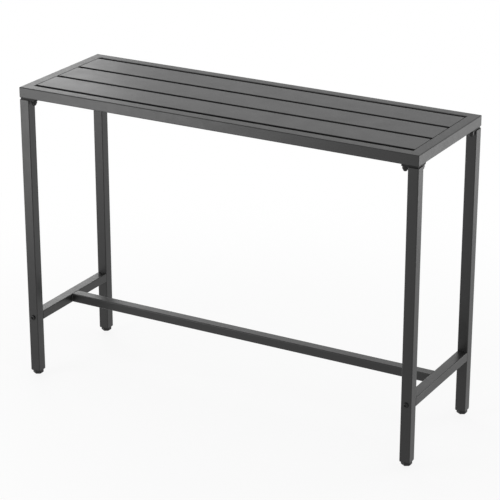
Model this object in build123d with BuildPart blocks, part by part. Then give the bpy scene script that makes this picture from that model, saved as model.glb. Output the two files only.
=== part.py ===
from build123d import *
import os

# Outdoor bar table, in millimetres. +X runs along the table, the front is -Y, +Z is up and the floor is Z = 0.
# A welded tube frame with three folded slats stands on four bolted legs with levelling feet and an H-shaped footrest.

# Overall size
length = 1400.0
depth = 450.0
height = 1000.0

# Square tube of the tabletop frame and of the legs
tube = 35.0
tube_wall = 1.5
tube_radius = 3.0

# Slats folded from sheet, and the slots beside and between them
slat_names = ("slat_front", "slat_middle", "slat_back")
slot = 14.0
slat_sheet = 0.8
slat_drop = 15.0
slat_radius = 1.2

# Cross bars that carry the slats between the front and back rail
bar_width = 30.0
bar_wall = 1.5
bar_radius = 2.0
bar_spacing = 470.0

# L-shaped plate on each leg, held to the frame by two studs with dome nuts
plate_thickness = 6.0
plate_inset = 3.0
plate_ear = 24.0
plate_corner_radius = 5.0
stud_edge = 12.5
stud_reach = 13.0
stud_diameter = 10.0
stud_engagement = 11.0
stud_hole_clearance = 0.5
thread_clearance = 0.1
washer_diameter = 18.0
washer_thickness = 1.6
nut_flats = 16.0
nut_height = 16.0
nut_hex_height = 8.0
nut_dome_diameter = 15.0
nut_bore_depth = 12.0

# Turn of the nuts and the feet about their axes, in degrees, which points two corners along the table's depth
hex_turn = 30.0

# Footrest: two side stretchers between the legs, and a long stretcher welded between them
stretcher_top = 222.0
stretcher_width = 35.0
stretcher_height = 30.0
stretcher_wall = 1.5
stretcher_radius = 3.0

# Button-head bolts through the legs, and the threaded inserts that they screw into
bolt_diameter = 10.0
bolt_head_diameter = 17.5
bolt_head_height = 5.5
bolt_head_flat = 9.0
bolt_head_rim = 1.0
bolt_key = 6.0
bolt_key_depth = 3.1
bolt_engagement = 20.0
bolt_hole_clearance = 0.5
end_insert_depth = 25.0
insert_clearance = 0.1

# Plug in the lower end of each leg
plug_flange = 2.0
plug_flange_inset = 0.5
plug_height = 30.0
plug_radius = 1.5

# Levelling foot: hexagonal base, threaded stud and rubber sole
foot_height = 14.0
foot_gap = 0.3
foot_flats = 31.0
foot_corner_radius = 3.0
foot_chamfer = 3.0
foot_top_chamfer = 0.75
foot_rim = 1.2
foot_rise = 1.0
sole_thickness = 3.0
sole_chamfer = 0.6
stem_diameter = 6.0
stem_height = 1.8
foot_stud_diameter = 8.0
foot_stud_embed = 4.8
foot_stud_length = 34.0
running_clearance = 0.05

# Places that follow from these sizes
rail_bottom = height - tube
leg_top = rail_bottom - plate_thickness
leg_bottom = foot_height + plug_flange
leg_x = length / 2 - tube / 2
leg_y = depth / 2 - tube / 2
inner_length = length - 2 * tube
inner_depth = depth - 2 * tube
slat_width = (inner_depth - (len(slat_names) + 1) * slot) / len(slat_names)
stretcher_centre = stretcher_top - stretcher_height / 2
stud_places = ((tube + stud_reach, stud_edge), (stud_edge, tube + stud_reach))
ends = {"left": -1, "right": 1}
corners = {"front_left": (-1, -1), "front_right": (1, -1), "back_right": (1, 1), "back_left": (-1, 1)}

os.makedirs("parts", exist_ok=True)


def finish(piece, name):
    """Labels a finished piece and writes it."""
    piece.part.label = name
    export_step(piece.part, f"parts/{name}.step")


def hollow_section(width, high, radius, wall):
    """Draws the section of a rectangular tube, centred in the sketch in hand."""
    inner_radius = max(radius - wall, wall / 5)
    RectangleRounded(width, high, radius)
    RectangleRounded(width - 2 * wall, high - 2 * wall, inner_radius, mode=Mode.SUBTRACT)


def corner_plane(side_x, side_y, level):
    """Gives the plane at an outer corner of the table, with both its axes pointing inwards along the sides."""
    along = (-side_x, 0, 0) if side_x * side_y > 0 else (0, -side_y, 0)
    return Plane(origin=(side_x * length / 2, side_y * depth / 2, level), x_dir=along, z_dir=(0, 0, 1))


def across_plane(x, y, z):
    """Gives the upright plane at a point that looks along the table's depth, with its X along the table."""
    return Plane(origin=(x, y, z), x_dir=(1, 0, 0), z_dir=(0, 1, 0))


def stud_points(level):
    """Lists the places of all studs at one level: two by each leg, over the ears of its plate."""
    planes = [corner_plane(*corner, level) for corner in corners.values()]
    return [plane.from_local_coords((*place, 0)) for plane in planes for place in stud_places]


# Tabletop frame: each rail is a tube along its side, cut to a mitre at both ends
rail_sides = {
    "front_rail": ((1, 0, 0), length, depth),
    "right_rail": ((0, 1, 0), depth, length),
    "back_rail": ((-1, 0, 0), length, depth),
    "left_rail": ((0, -1, 0), depth, length),
}
for name, (along, span, across) in rail_sides.items():
    plan = Plane(origin=(0, 0, rail_bottom), x_dir=along, z_dir=(0, 0, 1))
    middle = plan.from_local_coords((0, tube / 2 - across / 2, tube / 2))
    with BuildPart() as rail:
        with BuildSketch(Plane(origin=middle, x_dir=(0, 0, 1), z_dir=along)):
            hollow_section(tube, tube, tube_radius, tube_wall)
        extrude(amount=span / 2, both=True)
        with BuildSketch(plan):
            with BuildLine():
                Polyline(
                    (-span / 2, -across / 2),
                    (span / 2, -across / 2),
                    (span / 2 - tube, tube - across / 2),
                    (tube - span / 2, tube - across / 2),
                    close=True,
                )
            make_face()
        extrude(amount=tube, mode=Mode.INTERSECT)
    finish(rail, name)

# Slats: sheet folded down along both long edges, open below, butted to the end rails
for index, name in enumerate(slat_names):
    slat_y = (index - (len(slat_names) - 1) / 2) * (slat_width + slot)
    with BuildPart() as slat:
        with BuildSketch(Plane(origin=(0, slat_y, height), x_dir=(0, 1, 0), z_dir=(1, 0, 0))):
            Rectangle(slat_width, slat_drop, align=(Align.CENTER, Align.MAX))
            fillet(vertices().group_by(Axis.Y)[-1], slat_radius)
            with BuildSketch(mode=Mode.PRIVATE) as hollow:
                with Locations((0, -slat_sheet)):
                    Rectangle(slat_width - 2 * slat_sheet, slat_drop, align=(Align.CENTER, Align.MAX))
                fillet(hollow.vertices().group_by(Axis.Y)[-1], max(slat_radius - slat_sheet, slat_sheet / 5))
            add(hollow.sketch, mode=Mode.SUBTRACT)
        extrude(amount=inner_length / 2, both=True)
    finish(slat, name)

# Cross bars: tubes from the front rail to the back rail, with the slats' folds standing on them
bar_height = tube - slat_drop
for side, sign in ends.items():
    with BuildPart() as cross_bar:
        with BuildSketch(across_plane(sign * bar_spacing / 2, 0, rail_bottom + bar_height / 2)):
            hollow_section(bar_width, bar_height, bar_radius, bar_wall)
        extrude(amount=inner_depth / 2, both=True)
    finish(cross_bar, f"cross_bar_{side}")

# Legs: square tubes flush with the frame's corners, drilled front to back for the stretcher bolts
for name, (side_x, side_y) in corners.items():
    outer_face = Plane(origin=(side_x * leg_x, side_y * depth / 2, stretcher_centre), z_dir=(0, side_y, 0))
    with BuildPart() as leg:
        with BuildSketch(Plane.XY.offset(leg_bottom)):
            with Locations((side_x * leg_x, side_y * leg_y)):
                hollow_section(tube, tube, tube_radius, tube_wall)
        extrude(amount=leg_top - leg_bottom)
        with Locations(outer_face):
            Hole(bolt_diameter / 2 + bolt_hole_clearance, depth=tube)
    finish(leg, f"leg_{name}")

# Leg plates: an arm under each of the two rails that meet at the corner, set back from the outer faces
arm_width = tube - 2 * plate_inset
arm_length = tube - plate_inset + plate_ear
for name, corner in corners.items():
    underside = corner_plane(*corner, leg_top)
    with BuildPart() as plate:
        with BuildSketch(underside):
            with Locations((plate_inset, plate_inset)):
                Rectangle(arm_length, arm_width, align=Align.MIN)
                Rectangle(arm_width, arm_length, align=Align.MIN)
            with Locations(*stud_places):
                Circle(stud_diameter / 2 + stud_hole_clearance, mode=Mode.SUBTRACT)
        extrude(amount=plate_thickness)
        upright_edges = plate.edges().filter_by(Axis.Z)
        ear_ends = upright_edges.sort_by_distance(underside.origin)[-4:]
        fillet(ear_ends, plate_corner_radius)
    finish(plate, f"leg_plate_{name}")

# Studs welded under the rails, through the plates and into the nuts
stud_length = plate_thickness + washer_thickness + stud_engagement
with BuildPart() as studs:
    with BuildSketch(Plane.XY.offset(rail_bottom)):
        with Locations(*[(point.X, point.Y) for point in stud_points(rail_bottom)]):
            Circle(stud_diameter / 2)
    extrude(amount=-stud_length)
finish(studs, "plate_studs")

# Flat washers under the plates
with BuildPart() as washers:
    with BuildSketch(Plane.XY.offset(leg_top)):
        with Locations(*[(point.X, point.Y) for point in stud_points(leg_top)]):
            Circle(washer_diameter / 2)
            Circle(stud_diameter / 2 + thread_clearance, mode=Mode.SUBTRACT)
    extrude(amount=-washer_thickness)
finish(washers, "plate_washers")

# Dome nuts: a hexagon with a round cap that ends in a half sphere, bored from above
nut_top = leg_top - washer_thickness
nut_sphere = nut_top - nut_height + nut_dome_diameter / 2
with BuildPart() as nuts:
    with BuildSketch(Plane.XY.offset(nut_top)):
        with Locations(*[(point.X, point.Y) for point in stud_points(nut_top)]):
            RegularPolygon(nut_flats / 2, 6, major_radius=False, rotation=hex_turn)
    extrude(amount=-nut_hex_height)
    with BuildSketch(Plane.XY.offset(nut_top)):
        with Locations(*[(point.X, point.Y) for point in stud_points(nut_top)]):
            Circle(nut_dome_diameter / 2)
    extrude(amount=nut_sphere - nut_top)
    with Locations(*stud_points(nut_sphere)):
        Sphere(nut_dome_diameter / 2)
    with Locations(*stud_points(nut_top)):
        Hole(stud_diameter / 2 + thread_clearance, depth=nut_bore_depth)
finish(nuts, "dome_nuts")

# Side stretchers between the legs, centred on them
for side, sign in ends.items():
    with BuildPart() as side_stretcher:
        with BuildSketch(across_plane(sign * leg_x, 0, stretcher_centre)):
            hollow_section(stretcher_width, stretcher_height, stretcher_radius, stretcher_wall)
        extrude(amount=inner_depth / 2, both=True)
    finish(side_stretcher, f"side_stretcher_{side}")

# Long stretcher, welded between the side stretchers with their tops level
with BuildPart() as long_stretcher:
    with BuildSketch(Plane(origin=(0, 0, stretcher_centre), x_dir=(0, 1, 0), z_dir=(1, 0, 0))):
        hollow_section(stretcher_width, stretcher_height, stretcher_radius, stretcher_wall)
    extrude(amount=leg_x - stretcher_width / 2, both=True)
finish(long_stretcher, "long_stretcher")

# Threaded inserts in both ends of each side stretcher
insert_shrink = 2 * (stretcher_wall + insert_clearance)
with BuildPart() as end_inserts:
    for side_x, side_y in corners.values():
        with BuildSketch(across_plane(side_x * leg_x, side_y * inner_depth / 2, stretcher_centre)):
            RectangleRounded(stretcher_width - insert_shrink, stretcher_height - insert_shrink, plug_radius)
            Circle(bolt_diameter / 2 + thread_clearance, mode=Mode.SUBTRACT)
        extrude(amount=-side_y * end_insert_depth)
finish(end_inserts, "stretcher_end_inserts")

# Button-head bolts through the legs: a turned profile with a hexagonal key socket
bolt_length = tube + bolt_engagement
with BuildPart() as bolts:
    for side_x, side_y in corners.values():
        seat = (side_x * leg_x, side_y * depth / 2, stretcher_centre)
        with BuildSketch(Plane(origin=seat, x_dir=(1, 0, 0), z_dir=(0, 0, side_y))):
            with BuildLine():
                head_top = Line((0, bolt_head_height), (bolt_head_flat / 2, bolt_head_height))
                rim = Line((bolt_head_diameter / 2, bolt_head_rim), (bolt_head_diameter / 2, 0))
                TangentArc(head_top @ 1, rim @ 0, tangent=(1, 0))
                Polyline(
                    rim @ 1,
                    (bolt_diameter / 2, 0),
                    (bolt_diameter / 2, -bolt_length),
                    (0, -bolt_length),
                    head_top @ 0,
                )
            make_face()
        revolve(axis=Axis(seat, (0, 1, 0)))
        crown = Plane(origin=seat, z_dir=(0, side_y, 0)).offset(bolt_head_height)
        with BuildSketch(crown):
            RegularPolygon(bolt_key / 2, 6, major_radius=False)
        extrude(amount=-bolt_key_depth, mode=Mode.SUBTRACT)
finish(bolts, "stretcher_bolts")

# Plugs in the legs' lower ends, with a flange under the tube and a thread for the foot
plug_width = tube - 2 * (tube_wall + insert_clearance)
flange_width = tube - 2 * plug_flange_inset
for name, (side_x, side_y) in corners.items():
    with BuildPart() as plug:
        with BuildSketch(Plane(origin=(side_x * leg_x, side_y * leg_y, foot_height))):
            RectangleRounded(flange_width, flange_width, tube_radius)
        extrude(amount=plug_flange)
        with BuildSketch(Plane(origin=(side_x * leg_x, side_y * leg_y, leg_bottom))):
            RectangleRounded(plug_width, plug_width, plug_radius)
        extrude(amount=plug_height - plug_flange)
        with Locations((side_x * leg_x, side_y * leg_y, foot_height + plug_height)):
            Hole(foot_stud_diameter / 2 + running_clearance, depth=plug_height)
    finish(plug, f"leg_plug_{name}")

# Feet: a hexagonal base turns with its stud, over a sole that sits in the base's recess on a stem
base_top = foot_height - foot_gap
recess_top = sole_thickness + foot_gap
sole_diameter = foot_flats - 2 * (foot_chamfer + foot_rim + foot_gap)
foot_stud_bottom = base_top - foot_stud_embed
for name, (side_x, side_y) in corners.items():
    axis_point = (side_x * leg_x, side_y * leg_y)
    with BuildPart() as base:
        with BuildSketch(Plane(origin=(*axis_point, foot_rise))):
            RegularPolygon(foot_flats / 2, 6, major_radius=False, rotation=hex_turn)
            fillet(vertices(), foot_corner_radius)
        extrude(amount=base_top - foot_rise)
        chamfer(base.faces().sort_by(Axis.Z)[0].edges(), foot_chamfer)
        chamfer(base.faces().sort_by(Axis.Z)[-1].edges(), foot_top_chamfer)
        with Locations((*axis_point, recess_top)):
            Cylinder(
                sole_diameter / 2 + foot_gap,
                recess_top - foot_rise,
                align=(Align.CENTER, Align.CENTER, Align.MAX),
                mode=Mode.SUBTRACT,
            )
            Cylinder(
                stem_diameter / 2 + running_clearance,
                stem_height,
                align=(Align.CENTER, Align.CENTER, Align.MIN),
                mode=Mode.SUBTRACT,
            )
        with Locations((*axis_point, base_top)):
            Hole(foot_stud_diameter / 2 + running_clearance, depth=foot_stud_embed)
    finish(base, f"foot_base_{name}")

    with BuildPart() as foot_stud:
        with BuildSketch(Plane(origin=(*axis_point, foot_stud_bottom))):
            Circle(foot_stud_diameter / 2)
        extrude(amount=foot_stud_embed + foot_stud_length)
    finish(foot_stud, f"foot_stud_{name}")

    with BuildPart() as sole:
        with BuildSketch(Plane(origin=(*axis_point, 0))):
            Circle(sole_diameter / 2)
        extrude(amount=sole_thickness)
        chamfer(sole.faces().sort_by(Axis.Z)[0].edges(), sole_chamfer)
        with BuildSketch(Plane(origin=(*axis_point, sole_thickness))):
            Circle(stem_diameter / 2)
        extrude(amount=stem_height)
    finish(sole, f"foot_sole_{name}")
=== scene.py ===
"""Dresses a long outdoor bar table round its CAD frame: metalwork, feet, finishes, studio and camera."""

import logging
from dataclasses import dataclass
from enum import Enum
from math import pi, radians

import bpy
import numpy as np
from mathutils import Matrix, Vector


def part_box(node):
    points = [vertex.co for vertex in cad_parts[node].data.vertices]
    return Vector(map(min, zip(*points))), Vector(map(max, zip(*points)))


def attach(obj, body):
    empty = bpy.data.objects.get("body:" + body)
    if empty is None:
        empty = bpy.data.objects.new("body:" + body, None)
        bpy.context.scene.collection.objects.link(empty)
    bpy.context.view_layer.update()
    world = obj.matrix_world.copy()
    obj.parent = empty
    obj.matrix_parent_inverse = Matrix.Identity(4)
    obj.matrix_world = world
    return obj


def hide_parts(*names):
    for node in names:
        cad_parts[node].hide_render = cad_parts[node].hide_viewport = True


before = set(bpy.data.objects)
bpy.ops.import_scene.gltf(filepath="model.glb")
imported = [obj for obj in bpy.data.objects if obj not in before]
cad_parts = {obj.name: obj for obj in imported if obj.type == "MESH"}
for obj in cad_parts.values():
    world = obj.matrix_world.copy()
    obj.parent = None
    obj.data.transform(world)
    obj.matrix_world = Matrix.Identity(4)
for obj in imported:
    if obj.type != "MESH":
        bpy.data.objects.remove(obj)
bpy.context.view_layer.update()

LOG = logging.getLogger("bar_table")

Array = np.ndarray
Point = tuple[float, float, float]
Colour = tuple[float, float, float]
Ring = tuple[float | Array, float]

MM = 0.001
WHITE = (1.0, 1.0, 1.0, 1.0)

# Corners of the table, each with the sides along X and Y that meet there.
CORNERS = {"front_left": (-1, -1), "front_right": (1, -1), "back_right": (1, 1), "back_left": (-1, 1)}
ENDS = ("left", "right")
SLATS = ("front", "middle", "back")

# Turn that points a flat of a hexagon, and not a corner, along +X.
HEX_TURN = radians(30.0)

# Decimals of a metre by which points count as one, and the turn past which an edge is shown sharp.
MERGE_DIGITS = 6
SHARP_ANGLE = radians(35.0)


class Relief(Enum):
    """Texture that raises the fine relief of a finish."""

    GRAIN = "ShaderNodeTexNoise"
    SPANGLE = "ShaderNodeTexVoronoi"


class Direction(Enum):
    """Way that a straight tube lies: the directions across its section, up its section and along it."""

    LENGTHWISE = ((0.0, 1.0, 0.0), (0.0, 0.0, 1.0), (1.0, 0.0, 0.0))
    CROSSWISE = ((1.0, 0.0, 0.0), (0.0, 0.0, 1.0), (0.0, 1.0, 0.0))
    UPRIGHT = ((1.0, 0.0, 0.0), (0.0, 1.0, 0.0), (0.0, 0.0, 1.0))


@dataclass(frozen=True)
class Finish:
    """Look of one material slot, with every pattern on Object coordinates.

    Attributes:
        name: name of the material.
        slot: name of the material slot in the record.
        colour: linear base colour.
        roughness: mean roughness.
        roughness_spread: how far the roughness wanders either side of its mean.
        metallic: 1 for bare metal, 0 for paint, plastic and rubber.
        specular: strength of the reflection of a coat that is no metal.
        mottle: share by which the colour wanders either side of its mean.
        mottle_size: metres across one cloud of the mottle.
        gloss_clouds: clouds of gloss across one cloud of the mottle.
        relief: texture of the fine relief.
        relief_size: metres across one grain of the relief.
        relief_height: metres from the relief's valleys to its tops.
    """

    name: str
    slot: str
    colour: Colour
    roughness: float
    roughness_spread: float = 0.05
    metallic: float = 0.0
    specular: float = 0.5
    mottle: float = 0.06
    mottle_size: float = 0.12
    gloss_clouds: float = 3.0
    relief: Relief = Relief.GRAIN
    relief_size: float = 0.0012
    relief_height: float = 0.00006

    def material(self) -> bpy.types.Material:
        """Gives the finish's material, which is built when it is first asked for."""
        return bpy.data.materials.get(self.name) or self.build()

    def build(self) -> bpy.types.Material:
        """Builds the shader: clouds of colour, clouds of gloss and a fine relief.

        Returns:
            The new material.
        """
        material = bpy.data.materials.new(self.name)
        material.use_nodes = True
        tree = material.node_tree
        shader = tree.nodes["Principled BSDF"]
        shader.inputs["Metallic"].default_value = self.metallic
        shader.inputs["Specular IOR Level"].default_value = self.specular

        colour = tree.nodes.new("ShaderNodeMix")
        colour.data_type = "RGBA"
        colour.inputs["A"].default_value = self.shade(1.0 - self.mottle)
        colour.inputs["B"].default_value = self.shade(1.0 + self.mottle)
        tree.links.new(self.texture(tree, Relief.GRAIN, self.mottle_size), colour.inputs["Factor"])
        tree.links.new(colour.outputs["Result"], shader.inputs["Base Color"])

        gloss = tree.nodes.new("ShaderNodeMapRange")
        gloss.inputs["To Min"].default_value = self.roughness - self.roughness_spread
        gloss.inputs["To Max"].default_value = self.roughness + self.roughness_spread
        gloss_size = self.mottle_size / self.gloss_clouds
        tree.links.new(self.texture(tree, Relief.GRAIN, gloss_size), gloss.inputs["Value"])
        tree.links.new(gloss.outputs["Result"], shader.inputs["Roughness"])

        bump = tree.nodes.new("ShaderNodeBump")
        bump.inputs["Distance"].default_value = self.relief_height
        tree.links.new(self.texture(tree, self.relief, self.relief_size), bump.inputs["Height"])
        tree.links.new(bump.outputs["Normal"], shader.inputs["Normal"])
        return material

    def shade(self, share: float) -> tuple[float, float, float, float]:
        """Gives the colour made lighter or darker by a share, with full opacity."""
        red, green, blue = (channel * share for channel in self.colour)
        return red, green, blue, 1.0

    @staticmethod
    def texture(tree: bpy.types.NodeTree, kind: Relief, size: float) -> bpy.types.NodeSocket:
        """Adds a texture on Object coordinates.

        Args:
            tree: node tree of the material.
            kind: texture to add.
            size: metres across one grain or cell.

        Returns:
            The socket with the texture's value.
        """
        place = tree.nodes.new("ShaderNodeTexCoord")
        texture = tree.nodes.new(kind.value)
        texture.inputs["Scale"].default_value = 1.0 / size
        tree.links.new(place.outputs["Object"], texture.inputs["Vector"])
        return texture.outputs[0]


FRAME_COAT = Finish("black_powder_coat", "frame_coat", (0.012, 0.012, 0.012), roughness=0.38, specular=0.4)
SLAT_COAT = Finish(
    "black_sheet_coat", "slat_coat", (0.012, 0.012, 0.012), roughness=0.36, specular=0.4, mottle_size=0.2
)
# The plates' coat is the frame's black powder coat, painted darker and duller: painted shade for the narrow
# gap between rail and leg top where the plates sit.
SHADED_PLATE_COAT = Finish(
    "plate_coat_with_painted_shade", "frame_coat", (0.006, 0.006, 0.006), roughness=0.55, specular=0.2, mottle_size=0.03
)
BLACK_STEEL = Finish(
    "black_oxide", "black_steel", (0.005, 0.005, 0.005), roughness=0.17, specular=0.25, mottle_size=0.01,
    relief_size=0.0006, relief_height=0.00001,
)
ZINC_STEEL = Finish(
    "bright_zinc", "zinc_steel", (0.52, 0.53, 0.55), roughness=0.32, metallic=1.0, mottle_size=0.006,
    relief=Relief.SPANGLE, relief_size=0.0015, relief_height=0.00001,
)
BLACK_PLASTIC = Finish(
    "moulded_plastic", "black_plastic", (0.010, 0.010, 0.010), roughness=0.5, specular=0.3,
    mottle_size=0.03, relief_size=0.0004, relief_height=0.00002,
)
RUBBER = Finish(
    "soft_rubber", "rubber", (0.010, 0.010, 0.010), roughness=0.8, specular=0.25, mottle=0.15,
    mottle_size=0.008, relief_size=0.0008, relief_height=0.00004,
)


@dataclass(frozen=True)
class Place:
    """Where a surface stands in the table's frame.

    Attributes:
        origin: place of the surface's own origin.
        x: direction of its first axis.
        y: direction of its second axis.
        z: direction of its third axis.
    """

    origin: Point
    x: Point = (1.0, 0.0, 0.0)
    y: Point = (0.0, 1.0, 0.0)
    z: Point = (0.0, 0.0, 1.0)

    def put(self, local: Array) -> Array:
        """Carries points to the table's frame: origin plus each coordinate times its axis."""
        return np.asarray(self.origin) + local @ np.array([self.x, self.y, self.z])


def upright_place(node: str, height: float) -> Place:
    """Gives the place at a height on the upright line through the middle of a CAD node."""
    low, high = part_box(node)
    return Place(((low.x + high.x) / 2, (low.y + high.y) / 2, height))


class Surface:
    """Mesh in the making, which grows from grids of points.

    Attributes:
        points: points of each grid.
        faces: faces of each grid, by the numbers of their points in the whole surface.
        count: points so far.
    """

    def __init__(self) -> None:
        """Starts with no points."""
        self.points: list[Array] = []
        self.faces: list[Array] = []
        self.count: int = 0

    def add(self, grid: Array, close_rows: bool = False, close_columns: bool = True) -> "Surface":
        """Adds a grid of points with four-sided faces between neighbours.

        Args:
            grid: points, as an array of rows by columns by 3.
            close_rows: joins the last row to the first.
            close_columns: joins the last column to the first.

        Returns:
            The surface itself.
        """
        rows, columns = grid.shape[:2]
        row = np.arange(rows if close_rows else rows - 1)[:, None]
        column = np.arange(columns if close_columns else columns - 1)[None, :]
        next_row = (row + 1) % rows * columns
        next_column = (column + 1) % columns
        row = row * columns
        ring = (row + column, row + next_column, next_row + next_column, next_row + column)
        self.faces.append(np.stack(ring, -1).reshape(-1, 4) + self.count)
        self.points.append(grid.reshape(-1, 3))
        self.count += rows * columns
        return self

    def mesh(self, name: str) -> bpy.types.Mesh:
        """Makes the mesh: points in one place become one, and faces that fold up go.

        The sum of the triple products of all faces is six times the volume. Where it is negative the faces
        point inwards, and all of them are turned round.

        Args:
            name: name of the mesh.

        Returns:
            The new mesh.
        """
        every_point = np.concatenate(self.points).round(MERGE_DIGITS)
        points, index = np.unique(every_point, axis=0, return_inverse=True)
        faces = index.reshape(-1)[np.concatenate(self.faces)]
        repeats = faces == np.roll(faces, -1, axis=1)
        quads = faces[repeats.sum(1) == 0]
        folded = repeats.sum(1) == 1
        triangles = faces[folded][~repeats[folded]].reshape(-1, 3)
        fans = np.concatenate([quads[:, [0, 1, 2]], quads[:, [0, 2, 3]], triangles])
        first, second, third = points[fans].transpose(1, 0, 2)
        inside_out = np.einsum("ij,ij->", first, np.cross(second, third)) < 0.0
        step = -1 if inside_out else 1

        mesh = bpy.data.meshes.new(name)
        mesh.from_pydata(points.tolist(), [], quads[:, ::step].tolist() + triangles[:, ::step].tolist())
        mesh.shade_smooth()
        mesh.set_sharp_from_angle(angle=SHARP_ANGLE)
        return mesh


def add_piece(surface: Surface, name: str, finish: Finish, body: str, *nodes: str) -> None:
    """Makes an object of a surface, gives it its finish and puts it on its body.

    Args:
        surface: the finished surface, in the table's frame.
        name: name of the piece.
        finish: finish that the piece wears.
        body: CAD body that the piece moves with.
        nodes: CAD nodes that the piece stands for.
    """
    mesh = surface.mesh(name)
    mesh.materials.append(finish.material())
    piece = bpy.data.objects.new(name, mesh)
    bpy.context.scene.collection.objects.link(piece)
    even_faces = piece.modifiers.new("Even faces", "WEIGHTED_NORMAL")
    even_faces.keep_sharp = True
    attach(piece, body)
    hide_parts(*nodes)
    LOG.info("%s: %d faces on %s", name, len(mesh.polygons), body)


def dress_node(name: str, finish: Finish) -> None:
    """Gives a CAD node that stays in view its finish.

    Args:
        name: name of the node.
        finish: finish that it wears.
    """
    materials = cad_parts[name].data.materials
    materials.clear()
    materials.append(finish.material())
    LOG.info("%s: CAD solid in %s", name, finish.slot)


def rounded_loop(width: float, height: float, radius: float, steps: int = 7) -> Array:
    """Gives the outline of a rectangle with round corners: a quarter circle about each corner's centre.

    Args:
        width: size along the first axis.
        height: size along the second axis.
        radius: radius of the corners.
        steps: points on each corner.

    Returns:
        Points as an array of 4 * steps by 2, anticlockwise.
    """
    signs = np.array([[1.0, 1.0], [-1.0, 1.0], [-1.0, -1.0], [1.0, -1.0]])
    centres = signs * (width / 2 - radius, height / 2 - radius)
    angles = np.arange(4)[:, None] * pi / 2 + np.linspace(0.0, pi / 2, steps)
    arcs = radius * np.stack([np.cos(angles), np.sin(angles)], -1)
    return (centres[:, None, :] + arcs).reshape(-1, 2)


def full_turn(columns: int) -> Array:
    """Gives evenly spaced angles round a full turn, without the last."""
    return np.linspace(0.0, 2.0 * pi, columns, endpoint=False)


def hexagon_radius(turn: Array, flats: float, rounding: float = 0.0) -> Array:
    """Gives a hexagon's radius by angle: half its width over the cosine of the angle from a flat's middle.

    Near a corner that is rounded, the radius is where the ray meets the corner's circle.

    Args:
        turn: angles, with a corner at zero.
        flats: width across the flats.
        rounding: radius of the corners.

    Returns:
        The radius at each angle.
    """
    half_side = pi / 6
    from_flat = np.mod(turn, 2 * half_side) - half_side
    from_corner = half_side - np.abs(from_flat)
    straight = flats / 2 / np.cos(from_flat)
    centre = (flats / 2 - rounding) / np.cos(half_side)
    chord = np.maximum(rounding**2 - (centre * np.sin(from_corner)) ** 2, 0.0)
    round_corner = centre * np.cos(from_corner) + np.sqrt(chord)
    arc_end = half_side - np.arctan((flats / 2 - rounding) * np.tan(half_side) / (flats / 2))
    return np.where(from_corner < arc_end, round_corner, straight)


def turned(rings: list[Ring], turn: Array) -> Array:
    """Stacks rings about an axis: each point is its ring's radius at its angle, at its ring's height.

    Args:
        rings: radius, one number or one for each angle, and height of each ring.
        turn: angles of the columns.

    Returns:
        Points as an array of rings by angles by 3.
    """
    radii = np.stack([np.broadcast_to(radius, turn.shape) for radius, _ in rings])
    heights = np.array([[height] for _, height in rings]) + np.zeros_like(radii)
    return np.stack([radii * np.cos(turn), radii * np.sin(turn), heights], -1)


@dataclass(frozen=True)
class Tube:
    """Rectangular tube with round edges and an open bore.

    Attributes:
        width: outer size along the section's first axis.
        height: outer size along the section's second axis.
        radius: outer radius of the long edges.
        wall: thickness of the wall.
        edge: width of the bevel round the cut ends.
    """

    width: float
    height: float
    radius: float = 3.0 * MM
    wall: float = 1.5 * MM
    edge: float = 0.3 * MM

    def outer(self, inset: float = 0.0) -> Array:
        """Gives the outside of the section, drawn in by an inset."""
        return rounded_loop(self.width - 2 * inset, self.height - 2 * inset, self.radius - inset)

    def inner(self) -> Array:
        """Gives the inside of the section."""
        return self.outer(self.wall)

    def straight(self, length: float) -> Array:
        """Carries the section along a line from zero: out along the outside, back along the bore.

        Args:
            length: length of the tube.

        Returns:
            Points as rows by columns by 3, closed both ways.
        """
        bevel = self.outer(self.edge)
        loops = np.stack([bevel, self.outer(), self.outer(), bevel, self.inner(), self.inner()])
        stations = np.array([0.0, self.edge, length - self.edge, length, length, 0.0])
        along = np.broadcast_to(stations[:, None, None], (*loops.shape[:2], 1))
        return np.concatenate([loops, along], -1)

    def mitred(self, span: float, corner_radius: float, steps: int = 5) -> Array:
        """Carries the section along one side of a frame, with both ends cut at 45 degrees.

        A point that lies deeper than the corner radius ends on the mitre line. A shallower one goes round
        the frame's corner on a circle, of the corner radius less its depth, to the middle of that corner.

        Args:
            span: length of the side over the outer corners.
            corner_radius: radius of the frame's outer corners.
            steps: rows round each corner.

        Returns:
            Points along the side, outwards from its outer face, and up; closed both ways.
        """
        turn = np.linspace(pi / 4, 0.0, steps)
        turn = np.concatenate([turn, turn[::-1]])[:, None]
        side = np.repeat([-1.0, 1.0], steps)[:, None]
        sheets = []
        for loop, order in ((self.outer(), 1), (self.inner(), -1)):
            depth = self.width / 2 - loop[:, 0]
            reach = np.maximum(corner_radius - depth, 0.0)
            inner_depth = np.maximum(depth, corner_radius)
            along = side * (span / 2 - inner_depth + reach * np.sin(turn))
            outward = reach * np.cos(turn) - inner_depth
            up = np.broadcast_to(loop[:, 1], along.shape)
            sheets.append(np.stack([along, outward, up], -1)[::order])
        return np.concatenate(sheets)


def add_straight_tube(node: str, direction: Direction, radius: float = Tube.radius) -> None:
    """Makes a straight tube that fills a CAD node's box, and adds it in the frame's coat.

    Args:
        node: CAD node that the tube stands for.
        direction: way that the tube lies.
        radius: outer radius of its long edges.
    """
    low, high = np.array(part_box(node))
    across, up, along = np.array(direction.value)
    size = high - low
    length = size @ along
    tube = Tube(size @ across, size @ up, radius)
    start = (low + high - length * along) / 2
    place = Place(tuple(start), *direction.value)
    surface = Surface().add(place.put(tube.straight(length)), close_rows=True)
    add_piece(surface, f"{node}_tube", FRAME_COAT, "table", node)


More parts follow.
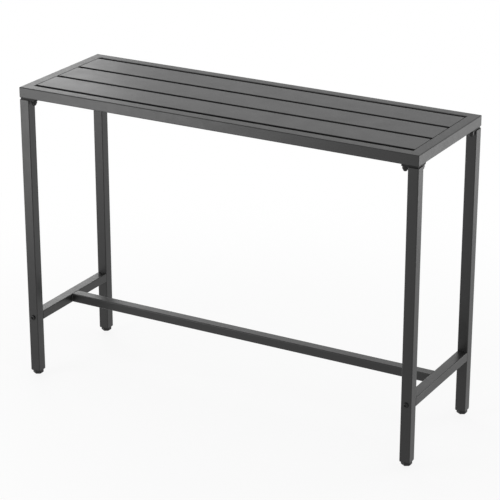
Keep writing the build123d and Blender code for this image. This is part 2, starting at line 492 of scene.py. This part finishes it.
@dataclass(frozen=True)
class Bead:
    """Weld bead: a bar whose radius swells once for each puddle and closes to a point at both ends.

    Attributes:
        radius: largest radius of the bead.
        ripple: share of the radius by which it shrinks between puddles.
        puddle: length of one puddle.
        bluntness: power of the way from the middle by which the ends close; more is blunter.
        rows_per_puddle: rings along each puddle.
        columns: points round the bead.
    """

    radius: float = 2.4 * MM
    ripple: float = 0.22
    puddle: float = 2.6 * MM
    bluntness: int = 16
    rows_per_puddle: int = 6
    columns: int = 10

    def along(self, start: Point, end: Point) -> Array:
        """Carries a ring from start to end, along one of the table's axes.

        The radius shrinks by the ripple where a sine of the way, half a wave to a puddle, is zero. It is
        closed by the root of 1 less a power of the way from the middle, which is 1 at both ends.

        Args:
            start: first point of the joint.
            end: last point of the joint.

        Returns:
            Points as rings by angles by 3.
        """
        first, last = np.asarray(start), np.asarray(end)
        length = float(np.linalg.norm(last - first))
        puddles = max(round(length / self.puddle), 1)
        way = np.linspace(0.0, 1.0, puddles * self.rows_per_puddle + 1)[:, None]
        swell = 1.0 - self.ripple * (1.0 - np.abs(np.sin(pi * puddles * way)))
        taper = np.sqrt(np.clip(1.0 - np.abs(2.0 * way - 1.0) ** self.bluntness, 0.0, 1.0))
        turn = full_turn(self.columns)
        direction = (last - first) / length
        across = np.roll(direction, 1)
        other = np.cross(direction, across)
        ring = np.cos(turn)[:, None] * across + np.sin(turn)[:, None] * other
        centres = first + way * (last - first)
        return centres[:, None, :] + (self.radius * swell * taper)[:, :, None] * ring


@dataclass
class Tabletop:
    """Welded frame of four mitred rails, with three folded slats on two cross bars.

    Attributes:
        corner_radius: radius of the frame's ground outer corners.
        bar_radius: radius of the cross bars' long edges.
        slat_sheet: thickness of the slats' sheet.
        slat_radius: outer radius of the slats' bends.
        slat_edge: bevel at the slats' cut ends.
        end_gap: gap between the slats' ends and the end rails.
        bead: welds of the frame, the bars and the slats' ends.
        corner_weld_foot: height of the corner welds' lower ends over the rails' underside.
        corner_weld_head: depth of their upper ends under the rails' top.
        stitch: length of the welds that hold the slats on the bars.
        stitch_bead: those welds.
        seam_inset: how far in from the end rails the seams under the slats' ends lie.
    """

    corner_radius: float = 2.0 * MM
    bar_radius: float = 2.0 * MM
    slat_sheet: float = 0.8 * MM
    slat_radius: float = 1.2 * MM
    slat_edge: float = 0.3 * MM
    end_gap: float = 0.8 * MM
    bead: Bead = Bead()
    corner_weld_foot: float = 4.8 * MM
    corner_weld_head: float = 7.2 * MM
    stitch: float = 14.0 * MM
    stitch_bead: Bead = Bead(radius=1.3 * MM, rows_per_puddle=4, columns=8)
    seam_inset: float = 1.8 * MM

    def build(self) -> None:
        """Makes all pieces of the tabletop."""
        self.rails()
        self.slats()
        for side in ENDS:
            add_straight_tube(f"cross_bar_{side}", Direction.CROSSWISE, self.bar_radius)
        self.welds()

    def rails(self) -> None:
        """Makes the four rails, each from corner to corner along its side."""
        sides = {"front": (0, -1), "right": (1, 0), "back": (0, 1), "left": (-1, 0)}
        for side, (out_x, out_y) in sides.items():
            node = f"{side}_rail"
            low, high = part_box(node)
            size = high - low
            middle = (low + high) / 2
            span = size.x if out_x == 0 else size.y
            tube = Tube(size.z, size.z)
            outer_face = (middle.x + out_x * size.x / 2, middle.y + out_y * size.y / 2, middle.z)
            place = Place(outer_face, x=(-out_y, out_x, 0.0), y=(out_x, out_y, 0.0))
            surface = Surface().add(place.put(tube.mitred(span, self.corner_radius)), close_rows=True)
            add_piece(surface, f"{node}_tube", FRAME_COAT, "table", node)

    def fold(self, width: float, drop: float, depth: float, steps: int = 7) -> Array:
        """Gives the folded sheet's section at a depth below its outside: up a fold, across and down.

        Args:
            width: width over the folds.
            drop: height of the folds.
            depth: depth below the outside, from zero to the sheet's thickness.
            steps: points on each bend.

        Returns:
            Points across and up, from the top's middle, as an array of n by 2.
        """
        centre = width / 2 - self.slat_radius
        radius = self.slat_radius - depth
        angles = np.linspace(0.0, pi / 2, steps)
        across = np.concatenate([[width / 2 - depth], centre + radius * np.cos(angles)])
        up = np.concatenate([[-drop], radius * np.sin(angles) - self.slat_radius])
        return np.stack([np.concatenate([-across, across[::-1]]), np.concatenate([up, up[::-1]])], -1)

    def slats(self) -> None:
        """Makes the slats: the section along the outside, with bevelled ends, and back along the inside."""
        for slat in SLATS:
            node = f"slat_{slat}"
            low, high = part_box(node)
            size = high - low
            half = size.x / 2 - self.end_gap
            sheet, edge = self.slat_sheet, self.slat_edge
            depths = (edge, 0.0, 0.0, edge, sheet, sheet)
            stations = np.array([-half, edge - half, half - edge, half, half, -half])
            loops = np.stack([self.fold(size.y, size.z, depth) for depth in depths])
            along = np.broadcast_to(stations[:, None, None], (*loops.shape[:2], 1))
            skin = upright_place(node, high.z).put(np.concatenate([along, loops], -1))
            surface = Surface().add(skin, close_rows=True, close_columns=False)
            # Each fold's lower edge is closed by strips from its outside over its bevels to its inside.
            for lip in (skin[:, 0], skin[:, -1]):
                surface.add(lip[[[1, 2], [0, 3], [5, 4]]], close_columns=False)
            add_piece(surface, f"{node}_sheet", SLAT_COAT, "table", node)

    def welds(self) -> None:
        """Makes all welds of the tabletop, as one piece."""
        surface = Surface()
        self.corner_welds(surface)
        self.bar_welds(surface)
        self.end_seams(surface)
        add_piece(surface, "frame_weld_beads", FRAME_COAT, "table")

    def corner_welds(self, surface: Surface) -> None:
        """Adds the upright beads inside the frame's corners.

        Args:
            surface: surface that they join.
        """
        inner_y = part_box("back_rail")[0].y
        inner_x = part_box("right_rail")[0].x
        low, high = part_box("front_rail")
        bottom, top = low.z + self.corner_weld_foot, high.z - self.corner_weld_head
        for side_x, side_y in CORNERS.values():
            x, y = side_x * inner_x, side_y * inner_y
            surface.add(self.bead.along((x, y, bottom), (x, y, top)))

    def bar_welds(self, surface: Surface) -> None:
        """Adds the beads beside and under the bars' ends, and the stitches between bars and slats.

        Args:
            surface: surface that they join.
        """
        edge = self.bar_radius
        for side in ENDS:
            low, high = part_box(f"cross_bar_{side}")
            under_z = low.z + self.bead.radius
            for y in (low.y, high.y):
                for x in (low.x, high.x):
                    surface.add(self.bead.along((x, y, low.z + edge), (x, y, high.z - edge)))
                surface.add(self.bead.along((low.x + edge, y, under_z), (high.x - edge, y, under_z)))
            middle = (low.x + high.x) / 2
            start_x, end_x = middle - self.stitch / 2, middle + self.stitch / 2
            for slat in SLATS:
                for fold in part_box(f"slat_{slat}"):
                    surface.add(self.stitch_bead.along((start_x, fold.y, high.z), (end_x, fold.y, high.z)))

    def end_seams(self, surface: Surface) -> None:
        """Adds the beads under the slats' ends, which touch the sheet between puddles and swell into it.

        Args:
            surface: surface that they join.
        """
        for slat in SLATS:
            low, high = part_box(f"slat_{slat}")
            seam_z = high.z - self.slat_sheet - self.bead.radius * (1.0 - self.bead.ripple)
            front, back = low.y + self.slat_edge, high.y - self.slat_edge
            for x in (low.x + self.seam_inset, high.x - self.seam_inset):
                surface.add(self.bead.along((x, front, seam_z), (x, back, seam_z)))


@dataclass
class Footrest:
    """Two side stretchers bolted between the legs, and a long stretcher welded between them.

    Attributes:
        bead: welds of the long stretcher.
        bolt_flat: width of the flat crown on a bolt's head.
        bolt_rim: height of the upright rim of a bolt's head.
        bolt_shank: diameter of a bolt's shank.
        bolt_grip: length of a bolt's thread in its insert.
        key: width across the flats of a bolt's key socket.
        key_depth: depth of the socket.
        key_bevel: bevel round the socket's mouth.
        key_cone: depth of the cone in the socket's floor.
        crown_steps: rings on a bolt head's crown.
        columns: points round a bolt.
    """

    bead: Bead = Bead()
    bolt_flat: float = 9.0 * MM
    bolt_rim: float = 1.0 * MM
    bolt_shank: float = 10.0 * MM
    bolt_grip: float = 20.0 * MM
    key: float = 6.0 * MM
    key_depth: float = 3.1 * MM
    key_bevel: float = 0.3 * MM
    key_cone: float = 0.8 * MM
    crown_steps: int = 9
    columns: int = 48

    def build(self) -> None:
        """Makes all pieces of the footrest."""
        for side in ENDS:
            add_straight_tube(f"side_stretcher_{side}", Direction.CROSSWISE)
        add_straight_tube("long_stretcher", Direction.LENGTHWISE)
        self.welds()
        self.bolts()
        dress_node("stretcher_end_inserts", ZINC_STEEL)

    def welds(self) -> None:
        """Makes the beads round the long stretcher's ends, those above and below level with its faces."""
        surface = Surface()
        bead, edge = self.bead, Tube.radius
        low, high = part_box("long_stretcher")
        for x in (low.x, high.x):
            for y in (low.y, high.y):
                surface.add(bead.along((x, y, low.z + edge), (x, y, high.z - edge)))
            for z in (low.z + bead.radius, high.z - bead.radius):
                surface.add(bead.along((x, low.y + edge, z), (x, high.y - edge, z)))
        add_piece(surface, "footrest_weld_beads", FRAME_COAT, "table")

    def bolt_rings(self, turn: Array, radius: float, height: float, shank: float) -> list[Ring]:
        """Gives a bolt's profile from tip to socket: shank, rim, a quarter ellipse for the crown, and key.

        Args:
            turn: angles of the columns.
            radius: radius of the head.
            height: height of the head.
            shank: length of the shank.

        Returns:
            Rings by radius and by height over the head's seat.
        """
        crown = np.linspace(0.0, pi / 2, self.crown_steps)
        crown_radii = self.bolt_flat / 2 + (radius - self.bolt_flat / 2) * np.cos(crown)
        crown_heights = self.bolt_rim + (height - self.bolt_rim) * np.sin(crown)
        socket = hexagon_radius(turn, self.key)
        return [
            (0.0, -shank),
            (self.bolt_shank / 2, -shank),
            (self.bolt_shank / 2, 0.0),
            (radius, 0.0),
            *zip(crown_radii.tolist(), crown_heights.tolist()),
            (socket + self.key_bevel, height),
            (socket, height - self.key_bevel),
            (socket, height - self.key_depth),
            (0.0, height - self.key_depth - self.key_cone),
        ]

    def bolts(self) -> None:
        """Makes the button-head bolts, each turned about its axis from its seat on its leg's outer face."""
        low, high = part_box("stretcher_bolts")
        radius = (high.z - low.z) / 2
        turn = full_turn(self.columns)
        surface = Surface()
        for corner, (_, side_y) in CORNERS.items():
            leg_low, leg_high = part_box(f"leg_{corner}")
            seat_y, tip_y = (leg_high.y, high.y) if side_y > 0 else (leg_low.y, low.y)
            shank = leg_high.y - leg_low.y + self.bolt_grip
            rings = self.bolt_rings(turn, radius, abs(tip_y - seat_y), shank)
            seat = ((leg_low.x + leg_high.x) / 2, seat_y, (low.z + high.z) / 2)
            place = Place(seat, x=(-side_y, 0.0, 0.0), y=(0.0, 0.0, 1.0), z=(0.0, side_y, 0.0))
            surface.add(place.put(turned(rings, turn)))
        add_piece(surface, "stretcher_button_bolts", BLACK_STEEL, "table", "stretcher_bolts")


@dataclass
class Legs:
    """Four square legs, each with a plate on top that two dome nuts hold under the tabletop.

    Attributes:
        bead: welds of the legs' plates.
        washer_edge: bevel of the washers' edges.
        washer_hole: radius of the washers' holes.
        nut_flats: width across the nuts' flats.
        nut_hex: height of the nuts' hexagon.
        nut_slope: slope of the cones that cut the hexagon's corners.
        nut_bore: depth of the nuts' threaded holes.
        dome_radius: radius of the nuts' domes.
        stud_edge: distance of the studs from the nearer outer side of the frame.
        stud_reach: distance of the studs from the inner face of their leg.
        cone_steps: rings on each cone.
        dome_steps: rings on a dome.
        columns: points round a washer or a nut.
    """

    bead: Bead = Bead(radius=2.0 * MM)
    washer_edge: float = 0.25 * MM
    washer_hole: float = 5.1 * MM
    nut_flats: float = 16.0 * MM
    nut_hex: float = 8.0 * MM
    nut_slope: float = radians(30.0)
    nut_bore: float = 12.0 * MM
    dome_radius: float = 7.5 * MM
    stud_edge: float = 12.5 * MM
    stud_reach: float = 13.0 * MM
    cone_steps: int = 5
    dome_steps: int = 12
    columns: int = 48

    def build(self) -> None:
        """Makes all pieces of the legs and their fixings."""
        for corner in CORNERS:
            add_straight_tube(f"leg_{corner}", Direction.UPRIGHT)
            # Each plate wears the coat with painted shade for its gap.
            dress_node(f"leg_plate_{corner}", SHADED_PLATE_COAT)
            dress_node(f"leg_plug_{corner}", BLACK_PLASTIC)
        self.fixings()
        self.welds()
        dress_node("plate_studs", ZINC_STEEL)

    def stud_places(self) -> list[tuple[float, float]]:
        """Lists where the studs stand in plan: by each leg, one under each rail that meets there.

        Returns:
            The places along X and Y, two for each corner.
        """
        low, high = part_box("front_rail")
        near, far = self.stud_edge, high.y - low.y + self.stud_reach
        return [
            (side_x * (high.x - along), -side_y * (low.y + across))
            for side_x, side_y in CORNERS.values()
            for along, across in ((far, near), (near, far))
        ]

    def washer_rings(self, rim: float, thickness: float) -> list[Ring]:
        """Gives a washer's profile, from its hole out over the top and back underneath.

        Args:
            rim: outer radius.
            thickness: thickness of the washer.

        Returns:
            Rings by radius and by height from the washer's top.
        """
        edge = self.washer_edge
        return [
            (self.washer_hole, 0.0),
            (rim - edge, 0.0),
            (rim, -edge),
            (rim, edge - thickness),
            (rim - edge, -thickness),
            (self.washer_hole, -thickness),
        ]

    def nut_rings(self, turn: Array, height: float) -> list[Ring]:
        """Gives a dome nut's profile: bore, a hexagon cut by a cone at both ends, and half a ball below.

        On a cone the radius is the hexagon's or the cone's, whichever is less.

        Args:
            turn: angles of the columns.
            height: height of the nut.

        Returns:
            Rings by radius and by height from the nut's top.
        """
        hexagon = hexagon_radius(turn - HEX_TURN, self.nut_flats)
        flat = self.nut_flats / 2
        cone = np.linspace(0.0, float(hexagon.max()) - flat, self.cone_steps)
        slope = np.tan(self.nut_slope)
        dome = np.linspace(0.0, -pi / 2, self.dome_steps)
        dome_radii = self.dome_radius * np.cos(dome)
        dome_heights = self.dome_radius - height + self.dome_radius * np.sin(dome)
        return [
            (0.0, -self.nut_bore),
            (self.washer_hole, -self.nut_bore),
            (self.washer_hole, 0.0),
            *((np.minimum(hexagon, flat + grow), -grow * slope) for grow in cone),
            *((np.minimum(hexagon, flat + grow), grow * slope - self.nut_hex) for grow in cone[::-1]),
            (self.dome_radius, -self.nut_hex),
            *zip(dome_radii.tolist(), dome_heights.tolist()),
        ]

    def fixings(self) -> None:
        """Makes the washers and the dome nuts, turned about each stud's axis."""
        turn = full_turn(self.columns)
        places = self.stud_places()
        washer_low, washer_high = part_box("plate_washers")
        nut_low, nut_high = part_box("dome_nuts")
        rim = washer_high.x - max(x for x, _ in places)
        washer = turned(self.washer_rings(rim, washer_high.z - washer_low.z), turn)
        nut = turned(self.nut_rings(turn, nut_high.z - nut_low.z), turn)
        washers, nuts = Surface(), Surface()
        for x, y in places:
            washers.add(Place((x, y, washer_high.z)).put(washer), close_rows=True)
            nuts.add(Place((x, y, nut_high.z)).put(nut))
        add_piece(washers, "plate_flat_washers", BLACK_STEEL, "table", "plate_washers")
        add_piece(nuts, "leg_dome_nuts", BLACK_STEEL, "table", "dome_nuts")

    def welds(self) -> None:
        """Makes the beads between the legs' inner faces and their plates."""
        surface = Surface()
        bead, edge = self.bead, Tube.radius
        for corner, (side_x, side_y) in CORNERS.items():
            low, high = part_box(f"leg_{corner}")
            x = low.x if side_x > 0 else high.x
            y = low.y if side_y > 0 else high.y
            surface.add(bead.along((x, low.y + edge, high.z), (x, high.y - edge, high.z)))
            surface.add(bead.along((low.x + edge, y, high.z), (high.x - edge, y, high.z)))
        add_piece(surface, "leg_plate_weld_beads", FRAME_COAT, "table")


@dataclass
class LevellingFeet:
    """Screw feet: a hexagonal base on a threaded stud, over a rubber sole that doesn't turn.

    Attributes:
        pitch: rise of the thread in one turn.
        thread_depth: height of the thread.
        thread_flat: share of that height that is cut off the thread's triangle at root and at crest.
        rows_per_turn: rings in each turn of the thread.
        columns: points round a foot.
        corner: radius of the base's upright corners.
        bevel: width of the bevel round the base's bottom.
        top_bevel: width of the bevel round the base's top.
        rim: width of the base's flat rim round the sole.
        sole_thickness: thickness of the sole under its stem.
        gap: gap between the base and the sole.
        stem: radius of the sole's stem.
        tread: pitch of the rings under the sole.
        tread_depth: depth of the grooves between those rings.
        tread_fullness: height of the grooves' sine, in depths of a groove, where it is cut off flat.
        tread_margin: width of the plain edge round the rings.
        tread_steps: points from the sole's middle to its edge.
    """

    pitch: float = 1.25 * MM
    thread_depth: float = 0.7 * MM
    thread_flat: float = 0.25
    rows_per_turn: int = 8
    columns: int = 48
    corner: float = 3.0 * MM
    bevel: float = 3.0 * MM
    top_bevel: float = 0.75 * MM
    rim: float = 1.2 * MM
    sole_thickness: float = 3.0 * MM
    gap: float = 0.3 * MM
    stem: float = 3.0 * MM
    tread: float = 2.6 * MM
    tread_depth: float = 0.6 * MM
    tread_fullness: float = 1.6
    tread_margin: float = 1.5 * MM
    tread_steps: int = 64

    def build(self) -> None:
        """Makes the four feet."""
        for corner in CORNERS:
            self.base(corner)
            self.stud(corner)
            self.sole(corner)

    def hexagon(self, turn: Array, flats: float, inset: float = 0.0) -> Array:
        """Gives the base's outline by angle, drawn in by an inset all round."""
        return hexagon_radius(turn - HEX_TURN, flats - 2 * inset, self.corner - inset)

    def base(self, corner: str) -> None:
        """Makes a base: a rounded, bevelled hexagon, hollow below for the sole and drilled for the stud.

        Args:
            corner: name of the foot's corner.
        """
        node = f"foot_base_{corner}"
        low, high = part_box(node)
        stud_low, stud_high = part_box(f"foot_stud_{corner}")
        turn = full_turn(self.columns)
        flats = high.x - low.x
        bore = (stud_high.x - stud_low.x) / 2
        recess = flats / 2 - self.bevel - self.rim
        recess_top = self.sole_thickness + self.gap
        rings: list[Ring] = [
            (0.0, stud_low.z),
            (bore, stud_low.z),
            (bore, high.z),
            (self.hexagon(turn, flats, self.top_bevel), high.z),
            (self.hexagon(turn, flats), high.z - self.top_bevel),
            (self.hexagon(turn, flats), low.z + self.bevel),
            (self.hexagon(turn, flats, self.bevel), low.z),
            (recess, low.z),
            (recess, recess_top),
            (self.stem + self.gap, recess_top),
            (self.stem + self.gap, stud_low.z - self.gap),
            (0.0, stud_low.z - self.gap),
        ]
        surface = Surface().add(upright_place(node, 0.0).put(turned(rings, turn)))
        add_piece(surface, f"{node}_hexagon", BLACK_PLASTIC, f"{corner}_screw", node)

    def stud(self, corner: str) -> None:
        """Makes a stud with a right-hand thread: the radius follows the height less the angle, in turns.

        Over one turn it follows a triangle that is cut off flat at root and crest, and the thread runs out
        over one turn at both ends.

        Args:
            corner: name of the foot's corner.
        """
        node = f"foot_stud_{corner}"
        low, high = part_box(node)
        length = high.z - low.z
        crest = (high.x - low.x) / 2
        turn = full_turn(self.columns // 2)
        height = np.linspace(0.0, length, int(length / self.pitch * self.rows_per_turn))[:, None]
        phase = np.mod(height / self.pitch - turn / (2.0 * pi), 1.0)
        triangle = (1.0 + 2.0 * self.thread_flat) * (1.0 - np.abs(2.0 * phase - 1.0)) - self.thread_flat
        ridge = np.clip(triangle, 0.0, 1.0)
        radius = crest - self.thread_depth * (1.0 - ridge)
        lead = np.minimum(height, length - height) / self.pitch
        radius = np.minimum(radius, crest - self.thread_depth * np.clip(1.0 - lead, 0.0, 1.0))
        thread = np.stack([radius * np.cos(turn), radius * np.sin(turn), height + 0.0 * radius], -1)
        ends = np.zeros((1, turn.size, 3))
        grid = np.concatenate([ends, thread, ends + (0.0, 0.0, length)])
        surface = Surface().add(upright_place(node, low.z).put(grid))
        add_piece(surface, f"{node}_thread", ZINC_STEEL, f"{corner}_screw", node)

    def sole(self, corner: str) -> None:
        """Makes a sole with rings under it: grooves of the tread's depth where a sine of the radius is up.

        Args:
            corner: name of the foot's corner.
        """
        node = f"foot_sole_{corner}"
        low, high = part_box(node)
        turn = full_turn(self.columns)
        rim = (high.x - low.x) / 2
        bevel = self.tread_depth
        radii = np.linspace(0.0, rim - bevel, self.tread_steps)
        wave = self.tread_fullness * np.sin(2.0 * pi * radii / self.tread)
        grooves = self.tread_depth * np.clip(wave, 0.0, 1.0)
        grooves[radii > rim - self.tread_margin] = 0.0
        rings: list[Ring] = [
            *zip(radii.tolist(), grooves.tolist()),
            (rim, bevel),
            (rim, self.sole_thickness),
            (self.stem, self.sole_thickness),
            (self.stem, high.z),
            (0.0, high.z),
        ]
        surface = Surface().add(upright_place(node, low.z).put(turned(rings, turn)))
        add_piece(surface, f"{node}_pad", RUBBER, f"{corner}_sole", node)


@dataclass(frozen=True)
class Softbox:
    """Rectangular studio light.

    Attributes:
        name: name of the light.
        position: where it hangs, in metres.
        target: point that it faces.
        size: width and height.
        power: watts.
    """

    name: str
    position: Point
    target: Point
    size: tuple[float, float]
    power: float

    def hang(self) -> None:
        """Adds the light to the scene, out of the camera's sight."""
        light = bpy.data.lights.new(self.name, "AREA")
        light.shape = "RECTANGLE"
        light.size, light.size_y = self.size
        light.energy = self.power
        lamp = bpy.data.objects.new(self.name, light)
        lamp.location = self.position
        lamp.rotation_euler = (Vector(self.target) - lamp.location).to_track_quat("-Z", "Y").to_euler()
        lamp.visible_camera = False
        bpy.context.scene.collection.objects.link(lamp)


@dataclass
class Studio:
    """Pale floor, white surroundings, softboxes and the camera at the photograph's viewing angle.

    Attributes:
        azimuth: degrees that the camera stands round to the right of the front.
        elevation: degrees that it looks down.
        camera_place: where it stands.
        lens: focal length in millimetres on a square sensor.
        sensor: width of that sensor in millimetres.
        floor_size: width of the floor.
        floor_depth: how far the floor lies under the feet, so that a foot screwed right out stands on it.
        floor_white: share of plain white in the floor by the table where it is seen; the rest has shadows.
        floor_fade: distances from the table's middle between which that share grows to one.
        floor_colour: grey of the floor's matt part.
        ambient: strength of the surroundings as a light.
        softboxes: lights round the table.
    """

    azimuth: float = 29.5
    elevation: float = 21.17
    camera_place: Point = (2.9771, -5.2325, 2.8331)
    lens: float = 145.25
    sensor: float = 36.0
    floor_size: float = 60.0
    floor_depth: float = 10.0 * MM
    floor_white: float = 0.85
    floor_fade: tuple[float, float] = (0.9, 2.2)
    floor_colour: float = 0.95
    ambient: float = 0.7
    softboxes: tuple[Softbox, ...] = (
        Softbox("front_left_light", (-1.55, -2.1, 0.5), (-0.45, -0.2, 0.8), (1.2, 0.95), 24.0),
        Softbox("back_right_light", (2.2, 1.6, 0.5), (0.6, 0.0, 0.6), (1.6, 1.0), 12.5),
        Softbox("back_left_light", (-2.95, 2.3, 1.6), (-0.5, 0.0, 0.8), (1.5, 1.8), 14.5),
        Softbox("back_low_light", (-0.9, 2.2, 0.8), (0.0, 0.0, 0.25), (3.4, 0.7), 6.5),
    )

    def build(self) -> None:
        """Sets up the whole studio."""
        bpy.context.scene.view_settings.view_transform = "Standard"
        self.surroundings()
        self.floor()
        self.camera()
        for softbox in self.softboxes:
            softbox.hang()

    @staticmethod
    def combine(
        tree: bpy.types.NodeTree, operation: str, first: bpy.types.NodeSocket, second: bpy.types.NodeSocket
    ) -> bpy.types.NodeSocket:
        """Adds a Math node on two values.

        Args:
            tree: node tree that it joins.
            operation: what the node works out.
            first: socket with the first value.
            second: socket with the second value.

        Returns:
            The socket with the result.
        """
        node = tree.nodes.new("ShaderNodeMath")
        node.operation = operation
        tree.links.new(first, node.inputs[0])
        tree.links.new(second, node.inputs[1])
        return node.outputs[0]

    def seen(self, tree: bpy.types.NodeTree) -> bpy.types.NodeSocket:
        """Adds nodes that give 1 on a camera ray, a glossy ray or a transmission ray, and else 0.

        Args:
            tree: node tree that they join.

        Returns:
            The socket with that value.
        """
        path = tree.nodes.new("ShaderNodeLightPath").outputs
        directly = self.combine(tree, "MAXIMUM", path["Is Camera Ray"], path["Is Glossy Ray"])
        return self.combine(tree, "MAXIMUM", directly, path["Is Transmission Ray"])

    @staticmethod
    def mix(
        tree: bpy.types.NodeTree, share: bpy.types.NodeSocket, first: bpy.types.Node, second: bpy.types.Node
    ) -> bpy.types.NodeSocket:
        """Adds a mix of two shaders.

        Args:
            tree: node tree that it joins.
            share: socket with the second shader's share.
            first: node of the first shader.
            second: node of the second shader.

        Returns:
            The socket with the mixed shader.
        """
        node = tree.nodes.new("ShaderNodeMixShader")
        tree.links.new(share, node.inputs["Fac"])
        tree.links.new(first.outputs[0], node.inputs[1])
        tree.links.new(second.outputs[0], node.inputs[2])
        return node.outputs[0]

    def surroundings(self) -> None:
        """Makes the world: plain white where it is seen, dimmer where it lights."""
        world = bpy.data.worlds.new("studio_surroundings")
        world.use_nodes = True
        tree = world.node_tree
        lighting = tree.nodes["Background"]
        lighting.inputs["Color"].default_value = WHITE
        lighting.inputs["Strength"].default_value = self.ambient
        white = tree.nodes.new("ShaderNodeBackground")
        white.inputs["Color"].default_value = WHITE
        white.inputs["Strength"].default_value = 1.0
        mixed = self.mix(tree, self.seen(tree), lighting, white)
        tree.links.new(mixed, tree.nodes["World Output"].inputs["Surface"])
        bpy.context.scene.world = world

    def floor_material(self) -> bpy.types.Material:
        """Makes the floor's material: matt, which keeps the shadows, and partly plain white where seen.

        The white's share grows smoothly with the distance from the table's middle.

        Returns:
            The new material.
        """
        material = bpy.data.materials.new("studio_floor")
        material.use_nodes = True
        tree = material.node_tree
        tree.nodes.remove(tree.nodes["Principled BSDF"])
        matt = tree.nodes.new("ShaderNodeBsdfDiffuse")
        matt.inputs["Color"].default_value = (self.floor_colour, self.floor_colour, self.floor_colour, 1.0)
        white = tree.nodes.new("ShaderNodeEmission")
        white.inputs["Strength"].default_value = 1.0
        place = tree.nodes.new("ShaderNodeTexCoord")
        distance = tree.nodes.new("ShaderNodeVectorMath")
        distance.operation = "LENGTH"
        tree.links.new(place.outputs["Object"], distance.inputs[0])
        fade = tree.nodes.new("ShaderNodeMapRange")
        fade.interpolation_type = "SMOOTHSTEP"
        fade.inputs["From Min"].default_value, fade.inputs["From Max"].default_value = self.floor_fade
        fade.inputs["To Min"].default_value = self.floor_white
        fade.inputs["To Max"].default_value = 1.0
        tree.links.new(distance.outputs["Value"], fade.inputs["Value"])
        share = self.combine(tree, "MULTIPLY", self.seen(tree), fade.outputs["Result"])
        mixed = self.mix(tree, share, matt, white)
        tree.links.new(mixed, tree.nodes["Material Output"].inputs["Surface"])
        return material

    def floor(self) -> None:
        """Makes the floor: one flat square."""
        half, height = self.floor_size / 2, -self.floor_depth
        corners = [(side_x * half, side_y * half, height) for side_x, side_y in CORNERS.values()]
        mesh = bpy.data.meshes.new("studio_floor")
        mesh.from_pydata(corners, [], [(0, 1, 2, 3)])
        mesh.materials.append(self.floor_material())
        floor = bpy.data.objects.new("studio_floor", mesh)
        bpy.context.scene.collection.objects.link(floor)

    def camera(self) -> None:
        """Sets up the camera, upright and looking down at the table from its front right."""
        data = bpy.data.cameras.new("camera")
        data.lens = self.lens
        data.sensor_width = self.sensor
        camera = bpy.data.objects.new("camera", data)
        camera.location = self.camera_place
        camera.rotation_euler = (radians(90.0 - self.elevation), 0.0, radians(self.azimuth))
        bpy.context.scene.collection.objects.link(camera)
        bpy.context.scene.camera = camera


def main() -> None:
    """Builds the table's sub-assemblies in order, then the studio."""
    logging.basicConfig(level=logging.INFO, format="%(name)s: %(message)s")
    Tabletop().build()
    Legs().build()
    Footrest().build()
    LevellingFeet().build()
    Studio().build()


if __name__ == "__main__":
    main()
